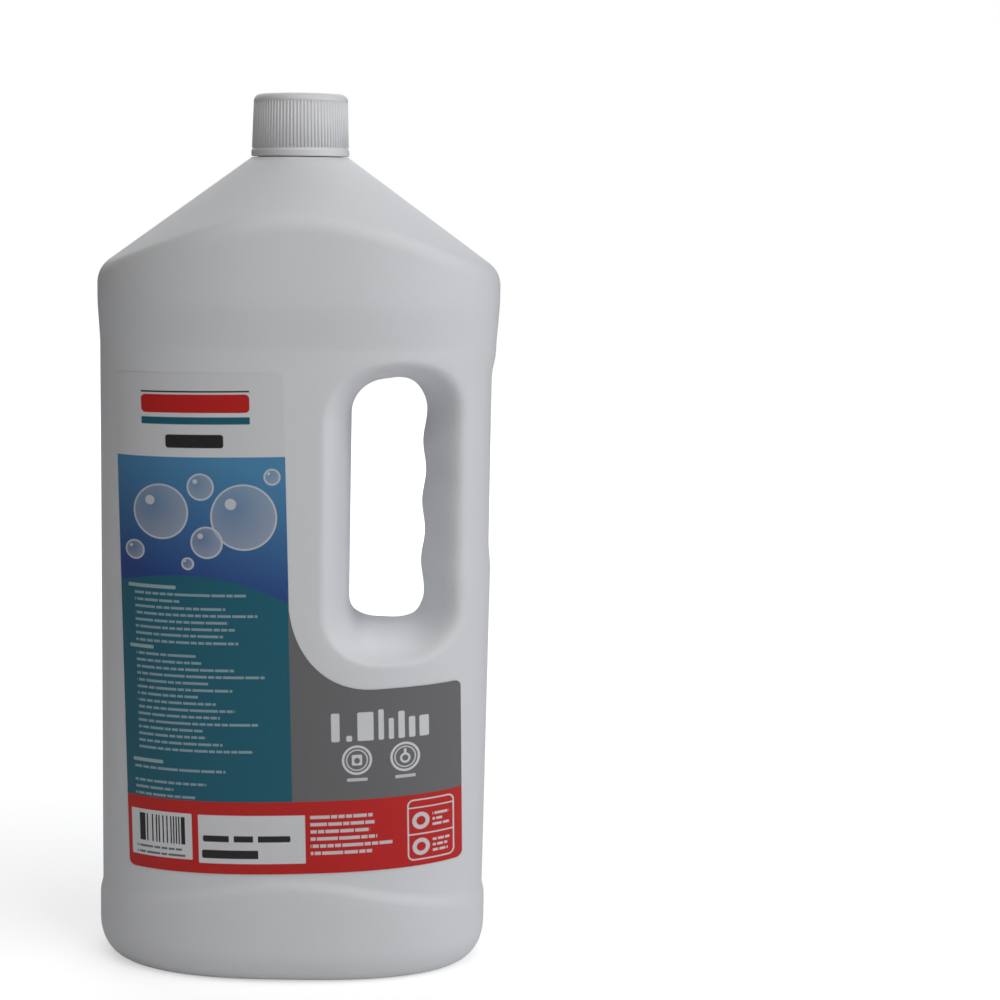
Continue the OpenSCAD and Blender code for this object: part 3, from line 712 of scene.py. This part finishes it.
def grip_faces(wall, row_of, rows, points):
    """Adds the rings of the grip's opening to the points, and returns the faces that join them to the wall."""
    def at(side, column, row):
        return (column if side > 0 else (COLUMNS - column) % COLUMNS) * rows + row_of(row)

    def chain(side):
        """Corner by corner round the block: up beside the grip, across, down and back."""
        (near, far), low, high = BLOCK, wall.first_row, wall.last_row
        return ([at(side, near, row) for row in range(low, high)]
                + [at(side, column, high) for column in range(near, far)]
                + [at(side, far, row) for row in range(high, low, -1)]
                + [at(side, column, low) for column in range(far, near, -1)])

    spots = wall.outline(BLOCK[1] - BLOCK[0])
    count = len(spots)

    def ring(made):
        points.extend(made)
        return list(range(len(points) - count, len(points)))

    def panel_rings(side):
        """Rings on the panel's face, from the block's edge to the flare's rim."""
        border = [points[k] for k in chain(side)]
        rim = [wall.flare(side, 1.0, spot) for spot in spots]
        rings = []
        for share in shares(RIM_RINGS)[:-1]:
            made = []
            for (x0, y0, z0), (x1, _, z1) in zip(border, rim):
                x, z = mix(x0, x1, share), mix(z0, z1, share)
                stray = y0 - side * (wall.face(x0, z0) - wall.inward)
                made.append((x, side * (wall.face(x, z) - wall.inward) + (1 - share) * stray, z))
            rings.append(made)
        return rings

    inward = [1 - share for share in shares(FLARE_RINGS, 0)]
    loops = [chain(-1)] + [ring(made) for made in panel_rings(-1)]
    loops += [ring([wall.flare(-1, share, spot) for spot in spots]) for share in inward]
    loops += [ring([wall.flare(1, share, spot) for spot in spots]) for share in inward[-2::-1]]
    loops += [ring(made) for made in reversed(panel_rings(1))] + [chain(1)]
    faces = []
    for near, far in zip(loops, loops[1:]):
        for i in range(count):
            j = (i + 1) % count
            face = (near[i], near[j], far[j], far[i])
            faces.append(face if wall.inward == 0 else face[::-1])
    return faces


# The label
CORNER_STEPS, SHEET_COLUMNS, SHEET_ROWS = 6, 40, 24
CUT_CROWD, CUT_GAP = 1.5, 0.02 * MM  # how the low part's columns crowd at the curve's steep start, and its first step


def label_layout(label):
    """Columns of the sheet: each has its place across, its low end and its high end."""
    corner, tall, width = label.corner, label.tall_width, label.width

    def rounded(distance):
        short = max(0.0, corner - distance)
        return corner - math.sqrt(max(0.0, corner ** 2 - short ** 2))

    def cut(u):
        share = min(1.0, (u - tall) / ((width - tall) * label.curve_share))
        drop = 1 - (1 - (1 - share) ** label.curve_power) ** (1 / label.curve_power)
        return mix(label.low_height, label.curve_height, drop)

    turns = [math.pi / 2 * share for share in shares(CORNER_STEPS, 0)]
    places = [corner * (1 - math.cos(q)) for q in turns]
    places += [mix(corner, tall - corner, share) for share in shares(SHEET_COLUMNS)]
    places += [tall - corner + corner * math.sin(q) for q in turns[1:]]
    places += [mix(tall + CUT_GAP, width - corner, share ** CUT_CROWD) for share in shares(SHEET_COLUMNS)]
    places += [width - corner + corner * math.sin(q) for q in turns[1:]]
    columns = []
    for u in places:
        top = label.height - rounded(u) - rounded(tall - u) if u <= tall else cut(u) - rounded(width - u)
        columns.append((u, rounded(u) + rounded(width - u), top))
    return columns


def label_mesh(wall, label, material):
    """The printed sheet, bent round the panel, with its own flat coordinates as its UV map."""
    columns, lean, power = label_layout(label), label.lean, wall.body.fullness

    def on_panel(u, v, lift):
        x = (u - label.left) * math.cos(lean) - v * math.sin(lean)
        z = label.bottom + (u - label.left) * math.sin(lean) + v * math.cos(lean)
        a, b = along(z, wall.half_width), along(z, wall.half_depth)
        y = b * (1 - (abs(x) / a) ** power) ** (1 / power)
        out = Vector((math.copysign((abs(x) / a) ** (power - 1) / a, x), (y / b) ** (power - 1) / b))
        out.normalize()
        return (x + lift * out.x, -(y + lift * out.y), z)

    points, flat = [], []
    for lift in (label.glue, label.glue + label.thickness):
        for u, low, high in columns:
            for share in shares(SHEET_ROWS, 0):
                v = mix(low, high, share)
                points.append(on_panel(u, v, lift))
                flat.append((u / label.width, v / label.height))
    rows, outer = SHEET_ROWS + 1, len(columns) * (SHEET_ROWS + 1)
    faces = []
    for i in range(len(columns) - 1):
        for j in range(SHEET_ROWS):
            a, b = i * rows + j, (i + 1) * rows + j
            faces.append((a, a + 1, b + 1, b))
            faces.append((outer + a, outer + b, outer + b + 1, outer + a + 1))
        low, high = i * rows, i * rows + SHEET_ROWS
        faces.append((low, low + rows, outer + low + rows, outer + low))
        faces.append((high, outer + high, outer + high + rows, high + rows))
    last = (len(columns) - 1) * rows
    for j in range(SHEET_ROWS):
        faces.append((j, outer + j, outer + j + 1, j + 1))
        faces.append((last + j, last + j + 1, outer + last + j + 1, outer + last + j))
    piece = mesh_object("label_sheet", points, faces, material)
    # The paper's edge is sharp, and its face bends smoothly
    piece.data.set_sharp_from_angle(angle=math.radians(35))
    layer = piece.data.uv_layers.new(name="Sheet")
    for loop in piece.data.loops:
        layer.data[loop.index].uv = flat[loop.vertex_index]
    return piece


# Finishes
def moulded_plastic(name, base, roughness, skin_depth, seam):
    """Satin white moulded plastic: cloudy colour, fine skin, faint scuffs and, where asked, the parting line."""
    finish = Finish(name, base, roughness, {
        "IOR": 1.5, "Specular IOR Level": 0.4})
    place, x, y, z = finish.place()
    clouds = finish.noise(place, 28, 3)
    grain = finish.noise(place, 1900, 2)
    ripple = finish.noise(finish.stretched(place, (1.0, 1.0, 0.35)), 150, 2)
    scuffs = finish.noise(finish.stretched(place, (1.0, 1.0, 6.0)), 240, 4, 0.6)
    scuffed = ((scuffs - 0.62) * 6).clamped()
    shade = (clouds - 0.5) * 0.07 + (grain - 0.5) * 0.05
    darker = tuple(part * 0.90 for part in base)
    lighter = tuple(min(1.0, part * 1.07) for part in base)
    finish.base(finish.mixed((shade + 0.6 - scuffed * 0.08).clamped(), darker, lighter))
    finish.roughness(roughness + (clouds - 0.5) * 0.12 + scuffed * 0.08)
    skin = finish.relief(grain * 0.35 + ripple * 0.65, skin_depth)
    if seam:
        line = (1 - abs(y) / (0.28 * MM)).clamped()
        finish.relief(line * (0.75 + ripple * 0.5), 0.00012, skin)
    return finish.material


def foam(name, base):
    """Closed-cell sealing foam with a fine pitted skin, and painted shade in its pits."""
    finish = Finish(name, base, 0.7, {"Specular IOR Level": 0.3})
    place, x, y, z = finish.place()
    cells = finish.signal(finish.node("ShaderNodeTexVoronoi", {"Vector": place, "Scale": 2600}), "Distance")
    clouds = finish.noise(place, 300, 2)
    # Colour: darker in the cell pits, as painted shade that follows the relief's pits, and darker in random clouds of
    # tone
    finish.base(finish.mixed((clouds * 0.5 + cells * 0.5).clamped(), tuple(part * 0.88 for part in base), base))
    finish.roughness(0.6 + clouds * 0.2)
    finish.relief(cells, 0.0001)
    return finish.material


class Print(Finish):
    """Printed coated paper, drawn in millimetres on the sheet's own flat coordinates."""

    SOFT = 0.22  # blur of every printed edge
    DASH, DASH_GAP = 2.3, 0.17  # length of a short dash, and the share of it that its gap takes
    JOINED = 0.3  # share of the gaps that are filled, so that the dashes differ in length

    def __init__(self, name, label, paper):
        super().__init__(name, paper, 0.4, {
            "IOR": 1.5, "Specular IOR Level": 0.25, "Coat Weight": 0.1, "Coat Roughness": 0.15})
        flat = self.node("ShaderNodeUVMap", uv_map="Sheet").outputs[0]
        parts = self.node("ShaderNodeSeparateXYZ", {"Vector": flat})
        self.u = self.signal(parts, "X") * (label.width / MM) - label.left / MM
        self.v = self.signal(parts, "Y") * (label.height / MM)
        self.colour = paper

    def edge(self, distance):
        """1 inside a shape and 0 outside it, from the distance past its edge."""
        return (0.5 - distance * (1 / self.SOFT)).clamped()

    def box(self, left, low, right, high, corner=0.0):
        """A rectangle with rounded corners."""
        across = abs(self.u - (left + right) / 2) - ((right - left) / 2 - corner)
        up = abs(self.v - (low + high) / 2) - ((high - low) / 2 - corner)
        beyond_across, beyond_up = across.at_least(0), up.at_least(0)
        outside = (beyond_across * beyond_across + beyond_up * beyond_up).root()
        return self.edge(outside + across.at_least(up).at_most(0) - corner)

    def reach(self, u, v):
        """Distance from one place on the sheet."""
        across, up = self.u - u, self.v - v
        return (across * across + up * up).root()

    def disc(self, u, v, radius):
        return self.edge(self.reach(u, v) - radius)

    def ring(self, u, v, radius, width):
        return self.edge(abs(self.reach(u, v) - radius) - width / 2)

    def bars(self, left, top, longest, rows, pitch, height, seed, shortest=0.35):
        """Rows of small dashes with uneven ends."""
        down = (top - self.v) / pitch
        row = down.floor()
        inside = (down > 0) * (down < rows)
        bar = self.edge((abs(down.fraction() - 0.5) - height / pitch / 2) * pitch)
        end = left + longest * (shortest + (1 - shortest) * self.pick(row + seed))
        span = self.edge(left - self.u) * self.edge(self.u - end)
        cells = self.u / self.DASH + self.pick(row * 1.7 + seed) * 9
        gaps = (cells.fraction() < self.DASH_GAP) * (self.pick(cells.floor() + row * 31.0 + seed) > self.JOINED)
        return inside * bar * span * (1 - gaps)

    def lay(self, mask, ink):
        """Prints one ink over what is there."""
        self.colour = self.mixed(mask, self.colour, ink)

    def done(self):
        """Adds the paper's own unevenness and hands over the material."""
        place, x, y, z = self.place()
        fibres = self.noise(place, 1500, 3)
        clouds = self.noise(place, 45, 2)
        speckle = (fibres - 0.5) * 0.16 + (clouds - 0.5) * 0.06
        self.base(self.mixed((0.015 - speckle * 0.35).clamped(), self.colour, (0.3, 0.3, 0.31)))
        self.roughness(0.36 + (clouds - 0.5) * 0.1)
        self.relief(fibres * 0.3 + clouds * 0.7, 0.00005)
        return self.material


def printed_label(label, inks):
    """The label's print: plain fields of colour, bubbles, bars, rows of dashes, boxes and rings."""
    sheet = Print("label print", label, inks.paper)
    u, v = sheet.u, sheet.v
    pale, clear = tuple(inks.paper), (0.42, 0.53, 0.57)

    # A blue that deepens downwards, with pale bubbles on it
    field_top, wave_top, wave_left, wave_fall = 130.4, 93.9, -32.0, 0.0078
    wave = wave_top - (u - wave_left) * (u - wave_left) * wave_fall
    fall = ((field_top - v) / 40 - (u + 25) * 0.006).clamped()
    sheet.lay(sheet.edge(v - field_top), sheet.mixed(fall, tuple(inks.sky), tuple(inks.night)))
    for left, up, radius in ((-38.0, 113.5, 8.6), (-12.5, 112.0, 10.2), (-25.5, 121.3, 4.2), (-24.0, 104.2, 5.0),
                             (-3.6, 124.3, 2.6), (-46.5, 101.2, 3.1), (-30.0, 97.6, 2.0)):
        body = sheet.disc(left, up, radius)
        glow = (sheet.reach(left - radius * 0.3, up + radius * 0.3) / (radius * 1.5)).clamped()
        sheet.lay(body * (0.30 + 0.5 * glow), (0.42, 0.47, 0.55))
        sheet.lay(sheet.ring(left, up, radius - 0.3, 0.5) * 0.7, pale)
        sheet.lay(sheet.disc(left - radius * 0.38, up + radius * 0.4, radius * 0.17) * 0.8, pale)

    # Teal field, grey field and the lower band
    divide, band = 0.4, 23.0
    sheet.lay(sheet.edge(v - wave), inks.teal)
    sheet.lay(sheet.edge(divide - u) * sheet.edge(v - label.curve_height / MM - 2), inks.grey)
    sheet.lay(sheet.edge(v - band), inks.red)

    # Plain bars on the white panel
    for left, right, low, high, corner, ink in (
            (-43.2, -9.9, 143.9, 149.5, 1.4, inks.red), (-43.2, -9.9, 150.1, 150.6, 0.0, inks.ink),
            (-43.2, -9.9, 140.4, 142.6, 0.3, inks.teal), (-35.9, -18.1, 133.2, 137.3, 0.9, inks.ink)):
        sheet.lay(sheet.box(left, low, right, high, corner), ink)

    # Teal field: rows of dashes in three groups, each under a thicker bar
    for left, top, rows, longest, seed in ((-47.0, 88.9, 8, 40.0, 3.0), (-47.0, 69.8, 15, 42.5, 40.0),
                                           (-48.6, 33.6, 1, 33.0, 70.0), (-48.6, 29.3, 3, 27.0, 90.0)):
        sheet.lay(sheet.bars(left, top, longest, rows, 2.13, 0.8, seed) * 0.7, clear)
    for top, long in ((91.0, 15.0), (71.9, 7.5), (35.7, 9.5)):
        sheet.lay(sheet.box(-49.0, top - 1.5, -49.0 + long, top - 0.4, 0.2) * 0.85, clear)

    # Grey field: upright blocks, and two sets of rings over short bars
    for left, right, high in ((12.8, 15.4, 50.6), (17.4, 19.2, 43.4), (20.9, 25.9, 50.6), (27.4, 29.1, 51.2),
                              (30.6, 32.2, 48.2), (33.6, 35.6, 50.2), (36.9, 38.9, 48.2), (40.2, 43.2, 48.2)):
        sheet.lay(sheet.box(left, 41.6, right, high, 0.5), pale)
    for middle in (20.6, 35.6):
        sheet.lay(sheet.ring(middle, 35.6, 4.3, 0.75), pale)
        sheet.lay(sheet.ring(middle, 35.6, 3.2, 0.4), pale)
        sheet.lay(sheet.box(middle - 3.2, 28.9, middle + 3.2, 29.9, 0.3) * 0.8, pale)
    sheet.lay(sheet.box(19.0, 33.9, 22.2, 37.3, 0.5) - sheet.disc(20.6, 35.4, 0.9), pale)
    sheet.lay((sheet.ring(35.6, 35.2, 1.3, 0.7) + sheet.box(35.2, 36.2, 36.0, 38.2, 0.2)).clamped(), pale)

    # Lower band: a box of upright bars, a box with two broken bars, rows of dashes and a divided outline
    sheet.lay(sheet.box(-50.2, 4.1, -31.0, 18.8, 0.3), pale)
    upright = (sheet.pick((u / 0.42).floor() + 11.0) > 0.48) * sheet.box(-47.6, 8.8, -32.6, 17.6)
    sheet.lay(upright, inks.ink)
    sheet.lay(sheet.bars(-48.6, 8.0, 15.5, 2, 1.9, 0.7, 5.0, 0.85) * 0.8, inks.ink)
    sheet.lay(sheet.box(-29.0, 3.3, 4.2, 18.7, 0.3), pale)
    sheet.lay(sheet.box(-27.6, 10.2, -0.4, 12.2, 0.6) * (1 - (sheet.pick((u / 1.5).floor()) > 0.8)), inks.ink)
    sheet.lay(sheet.box(-28.0, 4.9, -6.6, 7.6, 0.6) * (1 - (sheet.pick((u / 2.1).floor() + 7.0) > 0.75)), inks.ink)
    sheet.lay(sheet.bars(5.8, 19.1, 28.0, 6, 2.3, 1.05, 21.0, 0.55) * 0.85, pale)
    outline = sheet.box(36.0, 1.7, 51.0, 21.4, 2.0) - sheet.box(36.45, 2.15, 50.55, 20.95, 1.6)
    sheet.lay((outline + sheet.box(36.3, 9.9, 50.7, 10.35)).clamped(), pale)
    sheet.lay(sheet.box(36.3, 18.5, 50.7, 18.9), pale)
    for low in (6.0, 14.4):
        sheet.lay(sheet.ring(40.3, low, 2.1, 1.3) * 0.9, pale)
        sheet.lay(sheet.bars(44.0, low + 2.6, 5.6, 3, 1.75, 0.8, low, 0.6) * 0.9, pale)
    return sheet.done()


# Operators
class MakeBottle(Operator):
    """Makes the blown bottle with its grip, neck and cavity"""

    bl_idname = "bottle.make_body"
    bl_label = "Make the bottle"

    def execute(self, context):
        scene = context.scene
        plastic = moulded_plastic("bottle plastic", tuple(scene.bottle_finish.plastic), 0.47, 0.06 * MM, True)
        piece = bottle_mesh(scene.bottle_body, scene.bottle_grip, scene.bottle_neck, plastic)
        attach(piece, "container")
        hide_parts("bottle")
        return {"FINISHED"}


class MakeNeckThread(Operator):
    """Makes the thread on the neck"""

    bl_idname = "bottle.make_neck_thread"
    bl_label = "Make the neck's thread"

    def execute(self, context):
        neck = context.scene.bottle_neck
        piece = grown("neck_thread", thread_tree(), {
            "Radius": neck.crest - neck.thread_round, "Pitch": neck.pitch, "Turns": neck.turns,
            "Start": neck.thread_start, "Section": neck.thread_round, "Run out": RUN_OUT,
            "Material": bpy.data.materials["bottle plastic"]})
        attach(piece, "container")
        return {"FINISHED"}


class MakeCap(Operator):
    """Makes the screw cap: its shell, its ribs and its inner thread"""

    bl_idname = "bottle.make_cap"
    bl_label = "Make the cap"

    def execute(self, context):
        scene = context.scene
        cap, neck = scene.bottle_cap, scene.bottle_neck
        low, top = CAP_LOW.z, CAP_HIGH.z
        inside, shelf = top - cap.top_thickness, low + cap.rim_height
        ledge = shelf + cap.ledge_height
        edge = top - cap.edge_round
        band = cap.core_radius + cap.rib_depth - cap.taper
        core_top = cap.core_radius - cap.taper
        soft = cap.rim_round
        plastic = moulded_plastic("cap plastic", tuple(scene.bottle_finish.cap), 0.4, 0.02 * MM, False)
        profile = [
            (0, inside), (cap.head - 0.4 * MM, inside), (cap.head, inside - 0.4 * MM),
            (cap.head, inside - cap.head_height + 0.2 * MM), (cap.bore, inside - cap.head_height - 0.2 * MM),
            (cap.bore, low + 0.5 * MM), (cap.bore + 0.3 * MM, low),
            *quarter((cap.rim_radius - soft, low + soft), soft, -90, 0),
            *quarter((cap.rim_radius - soft / 2, shelf - soft / 2), soft / 2, 0, 60),
            (cap.core_radius + 0.04 * MM, ledge - 0.08 * MM), (cap.core_radius, ledge + 0.1 * MM),
            (core_top, edge - 0.5 * MM), (core_top + 0.08 * MM, edge - 0.25 * MM),
            (band - 0.06 * MM, edge - 0.1 * MM),
            *quarter((band - cap.edge_round, edge), cap.edge_round, 0, 90, 10),
            (band * 0.72, top), (band * 0.7, top - 0.12 * MM), (band * 0.3, top - 0.15 * MM), (0, top - 0.15 * MM),
        ]
        shell = lathe("cap_shell", profile, 192, plastic)
        height = edge - ledge + 0.1 * MM
        ring = cap.core_radius + cap.rib_depth - cap.rib_round - cap.taper / 2
        ribs = grown("cap_ribs", rib_tree(), {
            "Count": cap.rib_count, "Ring radius": ring, "Rib radius": cap.rib_round, "Height": height,
            "Middle": ledge + height / 2, "Lean": math.atan2(cap.taper, height), "Material": plastic})
        thread = grown("cap_thread", thread_tree(), {
            "Radius": cap.thread_crest + cap.thread_round, "Pitch": neck.pitch, "Turns": cap.thread_turns,
            "Start": neck.thread_start - neck.pitch / 2, "Section": cap.thread_round, "Run out": RUN_OUT,
            "Material": plastic})
        for piece in (shell, ribs, thread):
            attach(piece, "screw_cap")
        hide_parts("cap")
        return {"FINISHED"}


class MakeLiner(Operator):
    """Makes the foam disc inside the cap, pressed in where the neck's lip seals on it"""

    bl_idname = "bottle.make_liner"
    bl_label = "Make the liner"

    def execute(self, context):
        scene = context.scene
        neck = scene.bottle_neck
        low, high = LINER_LOW.z, LINER_HIGH.z
        radius, soft, dent = (LINER_HIGH.x - LINER_LOW.x) / 2, 0.15 * MM, 0.02 * MM
        profile = [
            (0, low), (neck.bore - 0.3 * MM, low), (neck.bore, low + dent), (neck.radius, low + dent),
            (neck.radius + 0.15 * MM, low), *quarter((radius - soft, low + soft), soft, -90, 0, 4),
            *quarter((radius - soft, high - soft), soft, 0, 90, 4), (0, high),
        ]
        piece = lathe("liner_disc", profile, 128, foam("liner foam", tuple(scene.bottle_finish.liner)))
        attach(piece, "liner_disc")
        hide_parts("cap_liner")
        return {"FINISHED"}


class MakeLabel(Operator):
    """Makes the printed label on the front panel"""

    bl_idname = "bottle.make_label"
    bl_label = "Make the label"

    def execute(self, context):
        scene = context.scene
        wall = Wall(scene.bottle_body, scene.bottle_grip)
        piece = label_mesh(wall, scene.bottle_label, printed_label(scene.bottle_label, scene.bottle_finish))
        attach(piece, "container")
        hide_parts("label")
        return {"FINISHED"}


class SetStage(Operator):
    """Sets the pale floor, the lamps, the surrounding light and the camera"""

    bl_idname = "bottle.set_stage"
    bl_label = "Set the stage"

    def execute(self, context):
        stage = context.scene.bottle_stage
        self.floor()
        self.world(context.scene, stage)
        for name, turn, rise, side, power, tint in LAMPS:
            self.lamp(name, math.radians(turn), math.radians(rise), side * MM, power, tint, stage.lamp_distance)
        self.camera(context.scene, stage)
        return {"FINISHED"}

    @staticmethod
    def floor():
        """A plain pale floor that looks white to the camera and keeps the bottle's shadow."""
        corners = [(x * FLOOR_REACH, y * FLOOR_REACH, 0) for x, y in ((-1, -1), (1, -1), (1, 1), (-1, 1))]
        material = bpy.data.materials.new("pale floor")
        graph = Graph(emptied(material))
        seen = graph.signal(graph.node("ShaderNodeLightPath"), "Is Camera Ray")
        place = graph.node("ShaderNodeTexCoord").outputs["Object"]
        away = graph.signal(graph.node("ShaderNodeVectorMath", {0: place}, operation="LENGTH"), "Value")
        pale = graph.node("ShaderNodeBsdfDiffuse", {"Color": (0.8, 0.8, 0.8, 1)})
        # The camera sees the floor lit up to white with distance, so that only the bottle's own shade stays
        lift = seen * (away * 0.45 + 0.5).at_most(1)
        glow = graph.node("ShaderNodeEmission", {"Color": (1, 1, 1, 1), "Strength": lift})
        both = graph.node("ShaderNodeAddShader", {0: pale.outputs[0], 1: glow.outputs[0]})
        graph.node("ShaderNodeOutputMaterial", {"Surface": both.outputs[0]})
        mesh_object("stage_floor", corners, [(0, 1, 2, 3)], material)

    @staticmethod
    def world(scene, stage):
        """Soft light from all round, and plain white where the camera sees past the floor."""
        world = scene.world = bpy.data.worlds.new("soft surroundings")
        graph = Graph(emptied(world))
        seen = graph.signal(graph.node("ShaderNodeLightPath"), "Is Camera Ray")
        strength = stage.fill + seen * (1 - stage.fill)
        glow = graph.node("ShaderNodeBackground", {"Color": (1, 1, 1, 1), "Strength": strength})
        graph.node("ShaderNodeOutputWorld", {"Surface": glow.outputs[0]})

    @staticmethod
    def lamp(name, turn, rise, side, power, tint, distance):
        """A square soft lamp that faces the bottle's middle, turned from the front to the right and raised."""
        light = bpy.data.lights.new(name, "AREA")
        light.energy, light.shape, light.size, light.color = power, "SQUARE", side, tint
        lamp = placed(name, light)
        away = Vector((math.sin(turn) * math.cos(rise), -math.cos(turn) * math.cos(rise), math.sin(rise)))
        lamp.location = (CAD_BOX[0] + CAD_BOX[1]) / 2 + away * distance
        lamp.rotation_euler = away.to_track_quat("Z", "Y").to_euler()

    @staticmethod
    def camera(scene, stage):
        """The camera at the photograph's place."""
        data = bpy.data.cameras.new("camera")
        data.lens, data.sensor_width, data.shift_x = stage.focal_length, 36, stage.shift
        data.clip_start, data.clip_end = 0.05, 50
        camera = placed("camera", data)
        level = Euler((math.pi / 2 - stage.camera_pitch, 0, 0)).to_matrix()
        rolled = level @ Matrix.Rotation(stage.camera_roll, 3, "Z")
        camera.rotation_euler = rolled.to_euler()
        camera.location = (0, -stage.camera_distance, stage.camera_height)
        scene.camera = camera


class BottlePanel(Panel):
    """Lists the bottle's pieces and sizes in the sidebar"""

    bl_idname = "VIEW3D_PT_bottle"
    bl_label = "Handle bottle"
    bl_space_type = "VIEW_3D"
    bl_region_type = "UI"
    bl_category = "Bottle"

    def draw(self, context):
        for name, group in SETTINGS.items():
            box = self.layout.box()
            box.label(text=group.__doc__)
            for key in group.__annotations__:
                box.prop(getattr(context.scene, name), key)
        for operator in OPERATORS:
            self.layout.operator(operator.bl_idname)


SETTINGS = {
    "bottle_body": BodySizes,
    "bottle_grip": GripSizes,
    "bottle_neck": NeckSizes,
    "bottle_cap": CapSizes,
    "bottle_label": LabelSizes,
    "bottle_finish": FinishColours,
    "bottle_stage": StageSizes,
}
OPERATORS = (MakeBottle, MakeNeckThread, MakeCap, MakeLiner, MakeLabel, SetStage)
CLASSES = (*SETTINGS.values(), *OPERATORS, BottlePanel)


def register():
    for item in CLASSES:
        bpy.utils.register_class(item)
    for name, group in SETTINGS.items():
        setattr(bpy.types.Scene, name, PointerProperty(type=group))


def unregister():
    for name in SETTINGS:
        delattr(bpy.types.Scene, name)
    for item in reversed(CLASSES):
        bpy.utils.unregister_class(item)


def main():
    register()
    bpy.context.scene.view_settings.view_transform = "Standard"
    bpy.ops.bottle.make_body()
    bpy.ops.bottle.make_neck_thread()
    bpy.ops.bottle.make_cap()
    bpy.ops.bottle.make_liner()
    bpy.ops.bottle.make_label()
    bpy.ops.bottle.set_stage()


if __name__ == "__main__":
    main()
